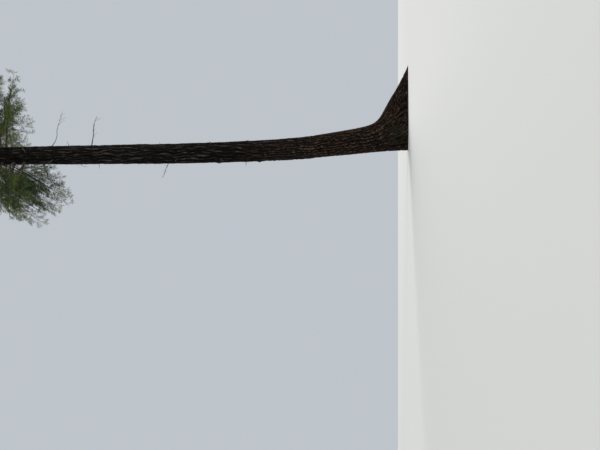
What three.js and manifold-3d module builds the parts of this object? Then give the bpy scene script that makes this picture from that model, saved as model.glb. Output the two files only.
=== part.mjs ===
// A tall forest conifer, 38.5 m high: one trunk with lean, sweep and root flare,
// drooping boughs, a few dead limbs, and the crown's masses of needles.
// Units are millimetres, +Z is up, the origin is on the flat cut at ground level.
import * as THREE from 'three';
import { mergeVertices } from 'three/addons/utils/BufferGeometryUtils.js';
import Module from 'manifold-3d';

const wasm = await Module();
wasm.setup();

// ---------------------------------------------------------------- named sizes
const HEIGHT = 38500;

// Stations of the trunk: height, centre x, centre y, radius of the round core.
const TRUNK = [
  [0, -55, 0, 375],
  [450, -90, 0, 353],
  [950, -137, 0, 328],
  [1450, -191, 4, 306],
  [2100, -250, 8, 282],
  [2750, -302, 12, 272],
  [4100, -327, 15, 268],
  [5600, -329, 12, 266],
  [8700, -270, 5, 265],
  [12100, -208, 0, 260],
  [18000, -130, 10, 212],
  [24000, -80, 20, 158],
  [30000, -50, 10, 100],
  [35000, -35, 0, 47],
  [HEIGHT, -30, 0, 6],
];
const TRUNK_SIDES = 24; // a corner line runs out along the big root
const FLARE_TOP = 1200; // rows are close below this height
const FLARE_ROWS = 11;
const SHAFT_ROWS = 18;
const CUTTER_SIDES = 7; // the plain shape that frees the masses from the trunk

// The big root, which sweeps down and out on one side until it reaches the ground.
const ROOT_REACH = 1350; // past the core, at the ground
const ROOT_FALL = 530; // how fast it draws in with height
const ROOT_TOP = 660; // height where it turns up into the trunk
const ROOT_TURN = 7.2;
const ROOT_WIDTH = 0.2; // half width at the ground, in radians
// The lesser buttresses: direction in degrees, reach, height, half width in radians.
const BUTTRESSES = [
  [-42, 120, 300, 0.33],
  [-100, 90, 300, 0.3],
  [75, 150, 400, 0.35],
  [125, 95, 300, 0.32],
  [-150, 30, 220, 0.28],
];

// The crown: masses in a rising spiral, from the lowest live boughs to the leader.
const CROWN_FOOT = 9600;
const CROWN_RADIUS = 3950;
const MASS_COUNT = 38;
const MASS_FIRST = 11500; // where the lowest and highest masses leave the trunk
const MASS_LAST = 35600;
const CLOSING_UP = 1.18; // how much closer the masses stand towards the top
const SPARSE_MASSES = 6; // the lowest ones are small and thin
const BARE_MASSES = 16; // these show their bough between trunk and needles
const TURN = 137.5; // degrees from one mass to the next
const MASS_SIDE = 1760; // largest half width and half height of a mass
const MASS_UP = 1260;
const LUMPS = 0.24; // unevenness, as a share of the size
const BOUGH_ROOT_RADIUS = 38;
const BOUGH_TIP_SHARE = 0.6;
const BOUGH_SIDES = 6;
const BOUGH_STEPS = 5;

// The leader's mass round the tip.
const LEADER_LOW = 35900;
const LEADER_HIGH = 38380;
const LEADER_RADIUS = 470;

// Dead limbs: height on the trunk, direction in degrees, length, rise, sag, radius.
const DEAD_LIMBS = [
  ['dead_limb_low', 6420, 186, 430, 260, 10, 11],
  ['dead_limb_right', 8960, -8, 820, -130, 190, 16],
  ['dead_limb_left', 10560, 178, 760, -120, 200, 18],
];

const GAP = 1.5; // what a cut piece keeps clear of its neighbour

// ------------------------------------------------------------ small functions
const rad = (deg) => (deg * Math.PI) / 180;

// A number from 0 to 1 that depends only on two whole numbers.
function chance(a, b) {
  let h = (Math.imul(a + 1, 0x9e3779b1) ^ Math.imul(b + 1, 0x85ebca77)) >>> 0;
  h = Math.imul(h ^ (h >>> 15), 0x2c1b3c6d) >>> 0;
  h = Math.imul(h ^ (h >>> 12), 0x297a2d39) >>> 0;
  return ((h ^ (h >>> 15)) >>> 0) / 4294967296;
}

const spread = (a, b, low, high) => low + (high - low) * chance(a, b);

// Column k of the trunk's stations at height z, on a smooth curve with no overshoot.
function station(z, k) {
  const n = TRUNK.length;
  let i = 0;
  while (i < n - 2 && z > TRUNK[i + 1][0]) i += 1;
  const slope = (j) => (TRUNK[j + 1][k] - TRUNK[j][k]) / (TRUNK[j + 1][0] - TRUNK[j][0]);
  const tangent = (j) => {
    if (j === 0) return slope(0);
    if (j === n - 1) return slope(n - 2);
    const a = slope(j - 1);
    const b = slope(j);
    return a * b <= 0 ? 0 : (2 * a * b) / (a + b);
  };
  const h = TRUNK[i + 1][0] - TRUNK[i][0];
  const t = Math.min(1, Math.max(0, (z - TRUNK[i][0]) / h));
  const t2 = t * t;
  const t3 = t2 * t;
  return (
    (2 * t3 - 3 * t2 + 1) * TRUNK[i][k] +
    (t3 - 2 * t2 + t) * h * tangent(i) +
    (3 * t2 - 2 * t3) * TRUNK[i + 1][k] +
    (t3 - t2) * h * tangent(i + 1)
  );
}

const turned = (angle, towards) => Math.abs(Math.atan2(Math.sin(angle - towards), Math.cos(angle - towards)));

// The trunk's radius at a height and direction, with the root flare.
function trunkRadius(z, angle) {
  let r = station(z, 3);
  const root = (ROOT_REACH * Math.exp(-z / ROOT_FALL)) / (1 + (z / ROOT_TOP) ** ROOT_TURN);
  r += root * Math.exp(-((turned(angle, 0) / (ROOT_WIDTH + 0.00035 * z)) ** 2));
  for (const [towards, reach, high, width] of BUTTRESSES) {
    r += reach * Math.exp(-z / high) * Math.exp(-((turned(angle, rad(towards)) / width) ** 2));
  }
  return r;
}

// ------------------------------------------------------------------- geometry
// A geometry with only positions and shared vertices.
function shared(geometry) {
  for (const name of Object.keys(geometry.attributes)) {
    if (name !== 'position') geometry.deleteAttribute(name);
  }
  return mergeVertices(geometry, 1e-3);
}

function toSolid(geometry) {
  const positions = new Float32Array(geometry.attributes.position.array);
  const triangles = new Uint32Array(geometry.index.array);
  return new wasm.Manifold(new wasm.Mesh({ numProp: 3, vertProperties: positions, triVerts: triangles }));
}

function toGeometry(solid) {
  const mesh = solid.getMesh();
  const geometry = new THREE.BufferGeometry();
  geometry.setAttribute('position', new THREE.BufferAttribute(new Float32Array(mesh.vertProperties), 3));
  geometry.setIndex(new THREE.BufferAttribute(new Uint32Array(mesh.triVerts), 1));
  geometry.computeVertexNormals();
  return geometry;
}

function largest(solid) {
  const bodies = solid.decompose();
  bodies.sort((a, b) => b.volume() - a.volume());
  return bodies[0];
}

// The trunk, or the same shape grown by a clearance to cut with.
function trunkGeometry(grow, sides) {
  const rows = FLARE_ROWS + SHAFT_ROWS;
  const round = sides < TRUNK_SIDES ? 1 / Math.cos(Math.PI / sides) : 1; // a plainer shape goes all round
  const geometry = new THREE.CylinderGeometry(1, 1, 1, sides, rows, false);
  geometry.rotateX(Math.PI / 2);
  const p = geometry.attributes.position;
  for (let i = 0; i < p.count; i += 1) {
    const row = Math.round((p.getZ(i) + 0.5) * rows);
    const z =
      row <= FLARE_ROWS
        ? (FLARE_TOP * row) / FLARE_ROWS
        : FLARE_TOP + (HEIGHT - FLARE_TOP) * ((row - FLARE_ROWS) / SHAFT_ROWS) ** 1.25;
    const angle = Math.atan2(p.getY(i), p.getX(i));
    const r = Math.hypot(p.getX(i), p.getY(i)) * (trunkRadius(z, angle) * round + grow);
    const past = grow > 0 && row === 0 ? -50 : grow > 0 && row === rows ? 40 : 0;
    p.setXYZ(i, station(z, 1) + r * Math.cos(angle), station(z, 2) + r * Math.sin(angle), z + past);
  }
  return shared(geometry);
}

// One tapering limb along a path: path(t) gives a point, radius(t) its thickness.
function limbGeometry(path, radius, sides, steps) {
  const geometry = new THREE.CylinderGeometry(1, 1, 1, sides, steps, false);
  geometry.rotateX(Math.PI / 2);
  const p = geometry.attributes.position;
  const up = new THREE.Vector3(0, 0, 1);
  for (let i = 0; i < p.count; i += 1) {
    const t = p.getZ(i) + 0.5;
    const at = path(t);
    const along = path(Math.min(1, t + 0.01)).sub(path(Math.max(0, t - 0.01))).normalize();
    const side = new THREE.Vector3().crossVectors(along, up).normalize();
    const other = new THREE.Vector3().crossVectors(along, side);
    const r = radius(t);
    at.addScaledVector(side, p.getX(i) * r).addScaledVector(other, p.getY(i) * r);
    p.setXYZ(i, at.x, at.y, at.z);
  }
  return shared(geometry);
}

// ---------------------------------------------------------------------- crown
// The crown's outline: its radius at a height.
function crownRadius(z) {
  const h = (z - CROWN_FOOT) / (HEIGHT - CROWN_FOOT);
  return (CROWN_RADIUS / 0.77) * Math.min(1, 0.55 + 1.6 * h) * (1 - h) ** 0.75;
}

// The sizes of one mass, from its place in the spiral.
function massSizes(j) {
  const up = j / (MASS_COUNT - 1);
  const foot = MASS_FIRST + (MASS_LAST - MASS_FIRST) * (1 - (1 - up) ** CLOSING_UP) + spread(j, 1, -260, 260) * (1 - 0.7 * up);
  const azimuth = rad(TURN * j + 205 + spread(j, 2, -13, 13));
  const sparse = j < SPARSE_MASSES ? 0.66 + 0.05 * j : 1;
  const tip = crownRadius(foot) * spread(j, 3, 0.84, 1.06) * (0.4 + 0.6 * sparse);
  const bare = j < BARE_MASSES;
  const start = bare ? tip * (0.27 - 0.12 * (j / BARE_MASSES)) * spread(j, 4, 0.85, 1.15) : 0.02 * tip;
  const wide = Math.min(MASS_SIDE, 140 + tip * 0.47) * spread(j, 5, 0.85, 1.12) * sparse;
  const thick = Math.min(MASS_UP, 260 + tip * 0.34) * spread(j, 6, 0.85, 1.12) * sparse;
  return {
    seed: j,
    foot,
    azimuth,
    tip,
    start,
    wide,
    thick,
    bare,
    rise: 0.02 + 0.9 * up ** 1.5,
    sag: 2000 - 1600 * up,
    base: (BOUGH_ROOT_RADIUS - 12 * up) * spread(j, 7, 0.85, 1.15),
  };
}

// A point of a bough's own line, at a distance from the trunk's axis.
function boughPoint(m, r) {
  const wander = 0.03 * r * Math.sin(r / 700 + 6.28 * chance(m.seed, 8));
  const z = m.foot + m.rise * r - m.sag * (r / 4000) ** 2;
  return new THREE.Vector3(
    station(m.foot, 1) + r * Math.cos(m.azimuth) - wander * Math.sin(m.azimuth),
    station(m.foot, 2) + r * Math.sin(m.azimuth) + wander * Math.cos(m.azimuth),
    z,
  );
}

// Smooth lumps over a ball of directions, from -1 to 1.
function lumps(a, b, c, seed) {
  const s = (k) => 6.28 * chance(seed, 20 + k);
  return (
    0.42 * Math.sin(3.3 * a + s(0)) * Math.cos(2.9 * b + s(1)) +
    0.33 * Math.sin(5.2 * b + 2.4 * c + s(2)) +
    0.25 * Math.cos(6.4 * a - 4.1 * c + s(3))
  );
}

// One closed, uneven mass that follows its bough. grow makes the shape to cut with.
function massGeometry(m, grow) {
  const geometry = new THREE.IcosahedronGeometry(1, m.tip > 2350 ? 2 : 1);
  const p = geometry.attributes.position;
  const middle = (m.start + m.tip) / 2;
  const half = (m.tip - m.start) / 2;
  for (let i = 0; i < p.count; i += 1) {
    const a = p.getX(i);
    const b = p.getY(i);
    const c = p.getZ(i);
    const size = 1 + LUMPS * lumps(a, b, c, m.seed);
    const along = middle + a * (half * (1 + (size - 1) * 0.4) + grow);
    const fan = 1 + 0.25 * a - 0.2 * a * a;
    const across = b * (m.wide * size * fan + grow);
    const lift = c * (m.thick * size * (c < 0 ? 1.2 : 0.9) + grow) - 0.1 * m.thick;
    const at = boughPoint(m, along);
    const hang = (-0.16 * across * across) / m.wide; // the sides droop a little
    p.setXYZ(i, at.x - across * Math.sin(m.azimuth), at.y + across * Math.cos(m.azimuth), at.z + lift + hang);
  }
  return shared(geometry);
}

function leaderGeometry(grow) {
  const geometry = new THREE.IcosahedronGeometry(1, 2);
  geometry.rotateX(0.4);
  const p = geometry.attributes.position;
  const middle = (LEADER_LOW + LEADER_HIGH) / 2;
  const half = (LEADER_HIGH - LEADER_LOW) / 2;
  for (let i = 0; i < p.count; i += 1) {
    const c = p.getZ(i);
    const size = 1 + LUMPS * lumps(p.getX(i), p.getY(i), c, 777);
    const r = LEADER_RADIUS * size * (1 - 0.62 * c) + grow;
    const z = middle + c * (half + grow);
    p.setXYZ(i, station(z, 1) + p.getX(i) * r, station(z, 2) + p.getY(i) * r, z);
  }
  return shared(geometry);
}

// ------------------------------------------------------------------- assembly
const tree = new THREE.Group();
tree.name = 'conifer_tree';

function place(name, geometry, colour, roughness) {
  const material = new THREE.MeshStandardMaterial({ color: colour, roughness, metalness: 0 });
  const mesh = new THREE.Mesh(geometry, material);
  mesh.name = name;
  tree.add(mesh);
}

const trunkCutter = toSolid(trunkGeometry(GAP, TRUNK_SIDES));
const plainCutter = toSolid(trunkGeometry(GAP * 2, CUTTER_SIDES));
place('trunk', toGeometry(toSolid(trunkGeometry(0, TRUNK_SIDES))), 0x4a3b31, 0.95);

const done = []; // grown shapes of the masses made so far, with their boxes
const near = (a, b) =>
  [0, 1, 2].every((k) => a.min[k] <= b.max[k] && b.min[k] <= a.max[k]);

function carve(solid, cutter) {
  let out = solid.subtract(cutter);
  for (const { solid: other, box } of done) {
    if (near(out.boundingBox(), box)) out = out.subtract(other);
  }
  return largest(out);
}

place('foliage_leader', toGeometry(carve(toSolid(leaderGeometry(0)), plainCutter)), 0x3f4f2a, 0.9);
const leaderGrown = toSolid(leaderGeometry(GAP * 2));
done.push({ solid: leaderGrown, box: leaderGrown.boundingBox() });

const number = (j) => String(j + 1).padStart(2, '0');
const masses = [];
for (let j = MASS_COUNT - 1; j >= 0; j -= 1) {
  const m = massSizes(j);
  place(`foliage_${number(j)}`, toGeometry(carve(toSolid(massGeometry(m, 0)), plainCutter)), 0x465630, 0.9);
  const grown = toSolid(massGeometry(m, GAP * 2));
  done.push({ solid: grown, box: grown.boundingBox() });
  masses.push(m);
}

for (const m of masses.reverse()) {
  if (!m.bare) continue;
  const reach = m.start + 0.3 * (m.tip - m.start); // ends inside the mass before the cut
  const path = (t) => boughPoint(m, reach * t);
  const radius = (t) => m.base * (1 - (1 - BOUGH_TIP_SHARE) * t);
  place(`bough_${number(m.seed)}`, toGeometry(carve(toSolid(limbGeometry(path, radius, BOUGH_SIDES, BOUGH_STEPS)), trunkCutter)), 0x4d4036, 0.95);
}

for (const [name, height, degrees, length, rise, sag, thick] of DEAD_LIMBS) {
  const a = rad(degrees);
  const path = (t) => {
    const r = station(height, 3) * 0.5 + (station(height, 3) * 0.5 + length) * t;
    const bend = 0.05 * length * Math.sin(5 * t);
    return new THREE.Vector3(
      station(height, 1) + r * Math.cos(a) - bend * Math.sin(a),
      station(height, 2) + r * Math.sin(a) + bend * Math.cos(a),
      height + rise * t - sag * t * t,
    );
  };
  const radius = (t) => thick * (1 - 0.7 * t);
  place(name, toGeometry(carve(toSolid(limbGeometry(path, radius, BOUGH_SIDES, 4)), trunkCutter)), 0x5a5148, 0.95);
}

export default tree;
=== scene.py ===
# The looks of a tall forest conifer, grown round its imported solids.
# Everything is in metres, +Z up, with the origin on the flat cut at ground level.
import math

import bpy
import numpy as np
from mathutils import Matrix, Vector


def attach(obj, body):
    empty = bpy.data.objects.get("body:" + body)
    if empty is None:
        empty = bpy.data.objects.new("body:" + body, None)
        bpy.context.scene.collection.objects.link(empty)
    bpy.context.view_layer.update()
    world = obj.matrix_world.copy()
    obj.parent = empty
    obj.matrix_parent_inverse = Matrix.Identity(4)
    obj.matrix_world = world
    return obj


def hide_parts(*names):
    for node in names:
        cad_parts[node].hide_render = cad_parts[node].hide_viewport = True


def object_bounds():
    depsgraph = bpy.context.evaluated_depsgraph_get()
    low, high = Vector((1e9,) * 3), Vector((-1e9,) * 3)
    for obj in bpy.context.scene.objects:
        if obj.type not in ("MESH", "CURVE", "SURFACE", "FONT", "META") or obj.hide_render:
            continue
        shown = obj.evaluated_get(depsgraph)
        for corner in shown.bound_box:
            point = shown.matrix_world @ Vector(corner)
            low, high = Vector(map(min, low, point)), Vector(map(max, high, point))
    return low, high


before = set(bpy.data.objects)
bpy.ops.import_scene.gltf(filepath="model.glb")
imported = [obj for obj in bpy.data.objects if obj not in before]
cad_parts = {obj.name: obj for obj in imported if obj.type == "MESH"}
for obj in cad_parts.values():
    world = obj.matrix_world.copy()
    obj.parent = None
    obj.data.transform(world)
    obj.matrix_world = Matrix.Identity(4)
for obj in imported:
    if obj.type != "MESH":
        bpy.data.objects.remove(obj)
cad_box = [[float(v) for v in corner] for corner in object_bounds()]

# ------------------------------------------------------------------ named sizes
HEIGHT = 38.5
SEED = 41

# The trunk's stations: height, centre x, centre y, radius of the round core.
TRUNK = np.array(
    [
        [0.0, -0.055, 0.0, 0.375],
        [0.45, -0.09, 0.0, 0.353],
        [0.95, -0.137, 0.0, 0.328],
        [1.45, -0.191, 0.004, 0.306],
        [2.1, -0.25, 0.008, 0.282],
        [2.75, -0.302, 0.012, 0.272],
        [4.1, -0.327, 0.015, 0.268],
        [5.6, -0.329, 0.012, 0.266],
        [8.7, -0.27, 0.005, 0.265],
        [12.1, -0.208, 0.0, 0.26],
        [18.0, -0.13, 0.01, 0.212],
        [24.0, -0.08, 0.02, 0.158],
        [30.0, -0.05, 0.01, 0.1],
        [35.0, -0.035, 0.0, 0.047],
        [38.5, -0.03, 0.0, 0.006],
    ]
)
ROOT_REACH, ROOT_FALL, ROOT_TOP, ROOT_TURN, ROOT_WIDTH = 1.35, 0.53, 0.66, 7.2, 0.2
BUTTRESSES = [
    [-42, 0.12, 0.3, 0.33],
    [-100, 0.09, 0.3, 0.3],
    [75, 0.15, 0.4, 0.35],
    [125, 0.095, 0.3, 0.32],
    [-150, 0.03, 0.22, 0.28],
]

# The crown's masses, in a rising spiral.
CROWN_FOOT, CROWN_RADIUS = 9.6, 3.95
MASS_COUNT, MASS_FIRST, MASS_LAST, CLOSING_UP = 38, 11.5, 35.6, 1.18
SPARSE_MASSES, BARE_MASSES, TURN = 6, 16, 137.5
MASS_SIDE, MASS_UP, LUMPS = 1.76, 1.26, 0.24
BOUGH_ROOT_RADIUS = 0.038
FILLER_BOUGHS, FILLER_LOW, FILLER_HIGH = 150, 12.6, 35.8
LEADER_LOW, LEADER_HIGH, LEADER_RADIUS = 35.9, 38.38, 0.47

# Dead limbs: node, height on the trunk, direction, length, rise, sag, radius.
DEAD_LIMBS = [
    ["dead_limb_low", 6.42, 186, 0.43, 0.26, 0.01, 0.011],
    ["dead_limb_right", 8.96, -8, 0.82, -0.13, 0.19, 0.016],
    ["dead_limb_left", 10.56, 178, 0.76, -0.12, 0.2, 0.018],
]

# Bark relief.
SEAMS, CROSSING_SEAMS, PLATE_DEPTH = 25, 17, 0.027  # seams round the trunk that part the plates
RIDGES, CROSSING_RIDGES, RIDGE_DEPTH = 20, 17, 0.028  # ridges round the trunk
BARK_ROUND = 0.28  # radius of the round frame that the bark's pattern grows in
BARK_CHANGE = (2.7, 4.6)  # plates give way to long ridges between these heights
BARK_GREYS = (1.6, 5.4)  # and the reddish brown to grey brown

# Branching.
SIDE_STEP = 0.115  # between side branches along a bough
SIDE_LONGEST = 1.05
TWIG_STEP = 0.082  # between twigs along a side branch
NEEDLE_COUNT = 384000
NEEDLE_LONG, NEEDLE_WIDE = 0.08, 0.0145
PIECE_TRIANGLES = 196000

Z = np.array([0.0, 0.0, 1.0])


# ------------------------------------------------------------- small functions
def chance(a, b):
    """A number from 0 to 1 that depends only on two whole numbers."""
    m = 0xFFFFFFFF
    h = (((a + 1) * 0x9E3779B1) & m) ^ (((b + 1) * 0x85EBCA77) & m)
    h = ((h ^ (h >> 15)) * 0x2C1B3C6D) & m
    h = ((h ^ (h >> 12)) * 0x297A2D39) & m
    return (h ^ (h >> 15)) / 4294967296


def spread(a, b, low, high):
    return low + (high - low) * chance(a, b)


def dice(ix, iy, iz, seed):
    """The same for many cells of space at once."""
    with np.errstate(over="ignore"):
        h = (
            ix.astype(np.uint32) * np.uint32(0x9E3779B1)
            ^ iy.astype(np.uint32) * np.uint32(0x85EBCA77)
            ^ iz.astype(np.uint32) * np.uint32(0xC2B2AE3D)
            ^ np.uint32((seed * 0x27D4EB2F) & 0xFFFFFFFF)
        )
        h = (h ^ (h >> np.uint32(15))) * np.uint32(0x2C1B3C6D)
        h = (h ^ (h >> np.uint32(12))) * np.uint32(0x297A2D39)
        h = h ^ (h >> np.uint32(15))
    return h.astype(np.float64) / 4294967296.0


def noise(p, seed):
    """Smooth noise from -1 to 1 at many points."""
    cell = np.floor(p).astype(np.int64)
    f = p - cell
    f = f * f * (3 - 2 * f)
    out = np.zeros(len(p))
    for i in (0, 1):
        for j in (0, 1):
            for k in (0, 1):
                w = (
                    (f[:, 0] if i else 1 - f[:, 0])
                    * (f[:, 1] if j else 1 - f[:, 1])
                    * (f[:, 2] if k else 1 - f[:, 2])
                )
                out += w * dice(cell[:, 0] + i, cell[:, 1] + j, cell[:, 2] + k, seed)
    return out * 2 - 1


def waves(p, seed):
    """Gradient noise, about -1 to 1, with no grid showing in it."""
    cell = np.floor(p).astype(np.int64)
    f = p - cell
    u = f * f * f * (f * (f * 6 - 15) + 10)
    out = np.zeros(len(p))
    for i in (0, 1):
        for j in (0, 1):
            for k in (0, 1):
                at = (cell[:, 0] + i, cell[:, 1] + j, cell[:, 2] + k)
                w = (
                    (u[:, 0] if i else 1 - u[:, 0])
                    * (u[:, 1] if j else 1 - u[:, 1])
                    * (u[:, 2] if k else 1 - u[:, 2])
                )
                lean = sum((2 * dice(*at, seed + n) - 1) * (f[:, n] - o) for n, o in ((0, i), (1, j), (2, k)))
                out += w * lean
    return out * 1.7


def cells(p, seed, jitter=0.96):
    """Distance to the nearest and the next cell point, and a number for each cell."""
    cell = np.floor(p).astype(np.int64)
    f = p - cell
    first = np.full(len(p), 9.0)
    second = np.full(len(p), 9.0)
    mark = np.zeros(len(p))
    for i in (-1, 0, 1):
        for j in (-1, 0, 1):
            for k in (-1, 0, 1):
                at = (cell[:, 0] + i, cell[:, 1] + j, cell[:, 2] + k)
                a, b, c = (dice(*at, seed + n) for n in range(3))
                d = (
                    (i + 0.5 + (a - 0.5) * jitter - f[:, 0]) ** 2
                    + (j + 0.5 + (b - 0.5) * jitter - f[:, 1]) ** 2
                    + (k + 0.5 + (c - 0.5) * jitter - f[:, 2]) ** 2
                )
                nearer = d < first
                second = np.where(nearer, first, np.minimum(second, d))
                mark = np.where(nearer, dice(*at, seed + 7), mark)
                first = np.minimum(first, d)
    return np.sqrt(first), np.sqrt(second), mark


def smooth(low, high, x):
    t = np.clip((x - low) / (high - low), 0, 1)
    return t * t * (3 - 2 * t)


def unit(v):
    return v / np.maximum(np.linalg.norm(v, axis=-1, keepdims=True), 1e-9)


def station(z, k):
    """Column k of the trunk's stations at heights z, on a smooth curve."""
    t = TRUNK
    n = len(t)
    z = np.asarray(z, float)
    i = np.clip(np.searchsorted(t[:, 0], z, side="right") - 1, 0, n - 2)
    slope = np.diff(t[:, k]) / np.diff(t[:, 0])
    tangent = np.zeros(n)
    tangent[0], tangent[-1] = slope[0], slope[-1]
    for j in range(1, n - 1):
        a, b = slope[j - 1], slope[j]
        tangent[j] = 0 if a * b <= 0 else 2 * a * b / (a + b)
    h = t[i + 1, 0] - t[i, 0]
    u = np.clip((z - t[i, 0]) / h, 0, 1)
    return (
        (2 * u**3 - 3 * u**2 + 1) * t[i, k]
        + (u**3 - 2 * u**2 + u) * h * tangent[i]
        + (3 * u**2 - 2 * u**3) * t[i + 1, k]
        + (u**3 - u**2) * h * tangent[i + 1]
    )


def turned(angle, towards):
    return np.arctan2(np.sin(angle - towards), np.cos(angle - towards))


def trunk_radius(z, angle):
    r = station(z, 3)
    root = ROOT_REACH * np.exp(-z / ROOT_FALL) / (1 + (z / ROOT_TOP) ** ROOT_TURN)
    r = r + root * np.exp(-((turned(angle, 0.0) / (ROOT_WIDTH + 0.35 * z)) ** 2))
    for towards, reach, high, width in BUTTRESSES:
        off = turned(angle, math.radians(towards))
        r = r + reach * np.exp(-z / high) * np.exp(-((off / width) ** 2))
    return r


# ----------------------------------------------------------------- mesh making
def make_piece(name, verts, tris, material, smooth_faces=True, marks=None):
    """A mesh object from arrays of points and triangles, with named numbers per point."""
    mesh = bpy.data.meshes.new(name)
    mesh.vertices.add(len(verts))
    mesh.vertices.foreach_set("co", np.ascontiguousarray(verts, np.float32).ravel())
    mesh.loops.add(len(tris) * 3)
    mesh.loops.foreach_set("vertex_index", np.ascontiguousarray(tris, np.int32).ravel())
    mesh.polygons.add(len(tris))
    mesh.polygons.foreach_set("loop_start", np.arange(0, len(tris) * 3, 3, dtype=np.int32))
    mesh.polygons.foreach_set("use_smooth", np.full(len(tris), smooth_faces))
    mesh.update(calc_edges=True)
    for key, values in (marks or {}).items():
        layer = mesh.attributes.new(key, "FLOAT", "POINT")
        layer.data.foreach_set("value", np.ascontiguousarray(values, np.float32))
    mesh.materials.append(material)
    piece = bpy.data.objects.new(name, mesh)
    bpy.context.scene.collection.objects.link(piece)
    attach(piece, "root")
    print(f"{name}: {len(tris)} triangles")
    return piece


def tubes(paths, radii, sides, pointed=False):
    """Closed tubes along many paths of equal point count. Returns points and triangles."""
    n, k, _ = paths.shape
    along = unit(np.gradient(paths, axis=1))
    up = np.where(np.abs(along[..., 2:]) > 0.94, np.array([1.0, 0.0, 0.0]), Z)
    side = unit(np.cross(along, up))
    other = np.cross(side, along)
    a = 2 * np.pi * np.arange(sides) / sides
    ring = (
        np.cos(a)[None, None, :, None] * side[:, :, None, :]
        + np.sin(a)[None, None, :, None] * other[:, :, None, :]
    )
    if radii.ndim == 2:
        radii = radii[:, :, None]
    verts = paths[:, :, None, :] + radii[..., None] * ring
    rows = k - 1 if pointed else k
    verts = verts[:, :rows].reshape(n, rows * sides, 3)
    s = np.arange(sides)
    t = (s + 1) % sides
    faces = []
    for j in range(rows - 1):
        a0, b0 = j * sides, (j + 1) * sides
        faces.append(np.stack([a0 + s, b0 + s, b0 + t], 1))
        faces.append(np.stack([a0 + s, b0 + t, a0 + t], 1))
    fan = np.arange(1, sides - 1)
    faces.append(np.stack([np.zeros_like(fan), fan, fan + 1], 1))
    last = (rows - 1) * sides
    count = rows * sides
    if pointed:
        verts = np.concatenate([verts, paths[:, -1:, :]], 1)
        faces.append(np.stack([last + s, np.full_like(s, count), last + t], 1))
        count += 1
    else:
        faces.append(np.stack([last + 0 * fan, last + fan + 1, last + fan], 1))
    faces = np.concatenate(faces)
    tris = faces[None] + (np.arange(n) * count)[:, None, None]
    return verts.reshape(-1, 3), tris.reshape(-1, 3)


def join(parts):
    """Several sets of points and triangles as one."""
    verts, tris, base = [], [], 0
    for v, t in parts:
        verts.append(v)
        tris.append(t + base)
        base += len(v)
    return np.concatenate(verts), np.concatenate(tris)


# ------------------------------------------------------------------- materials
def node_material(name, colour, rough, specular=0.3):
    material = bpy.data.materials.new(name)
    material.use_nodes = True
    shader = material.node_tree.nodes["Principled BSDF"]
    shader.inputs["Base Color"].default_value = (*colour, 1)
    shader.inputs["Roughness"].default_value = rough
    shader.inputs["Specular IOR Level"].default_value = specular
    return material, material.node_tree, shader


def add(tree, kind, **values):
    node = tree.nodes.new(kind)
    for key, value in values.items():
        if key in node.inputs:
            node.inputs[key].default_value = value
        else:
            setattr(node, key, value)
    return node


def ramp(tree, stops):
    node = tree.nodes.new("ShaderNodeValToRGB")
    elements = node.color_ramp.elements
    while len(elements) < len(stops):
        elements.new(0.5)
    for element, (at, colour) in zip(elements, stops):
        element.position = at
        element.color = (*colour, 1)
    return node


def mix_colours(tree, factor, a, b, blend="MIX"):
    node = tree.nodes.new("ShaderNodeMix")
    node.data_type = "RGBA"
    node.blend_type = blend
    for socket, value in ((node.inputs[0], factor), (node.inputs[6], a), (node.inputs[7], b)):
        if isinstance(value, bpy.types.NodeSocket):
            tree.links.new(value, socket)
        elif isinstance(value, tuple):
            socket.default_value = (*value, 1)
        else:
            socket.default_value = value
    return node.outputs[2]


def number(tree, kind, a, b, clamp=False):
    node = tree.nodes.new("ShaderNodeMath")
    node.operation = kind
    node.use_clamp = clamp
    for socket, value in ((node.inputs[0], a), (node.inputs[1], b)):
        if isinstance(value, bpy.types.NodeSocket):
            tree.links.new(value, socket)
        else:
            socket.default_value = value
    return node.outputs[0]


def noise_texture(tree, scale, detail, stretch=(1, 1, 1), leaning=0.0):
    place = tree.nodes.new("ShaderNodeTexCoord")
    mapping = tree.nodes.new("ShaderNodeMapping")
    mapping.vector_type = "TEXTURE"
    mapping.inputs["Scale"].default_value = [1 / v for v in stretch]
    mapping.inputs["Rotation"].default_value = (0, leaning, 0)
    tree.links.new(place.outputs["Object"], mapping.inputs["Vector"])
    node = add(tree, "ShaderNodeTexNoise", Scale=scale, Detail=detail, Roughness=0.62)
    tree.links.new(mapping.outputs["Vector"], node.inputs["Vector"])
    return node.outputs["Fac"]


def bump(tree, shader, height, strength, distance):
    node = add(tree, "ShaderNodeBump", Strength=strength, Distance=distance)
    tree.links.new(height, node.inputs["Height"])
    tree.links.new(node.outputs["Normal"], shader.inputs["Normal"])


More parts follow.
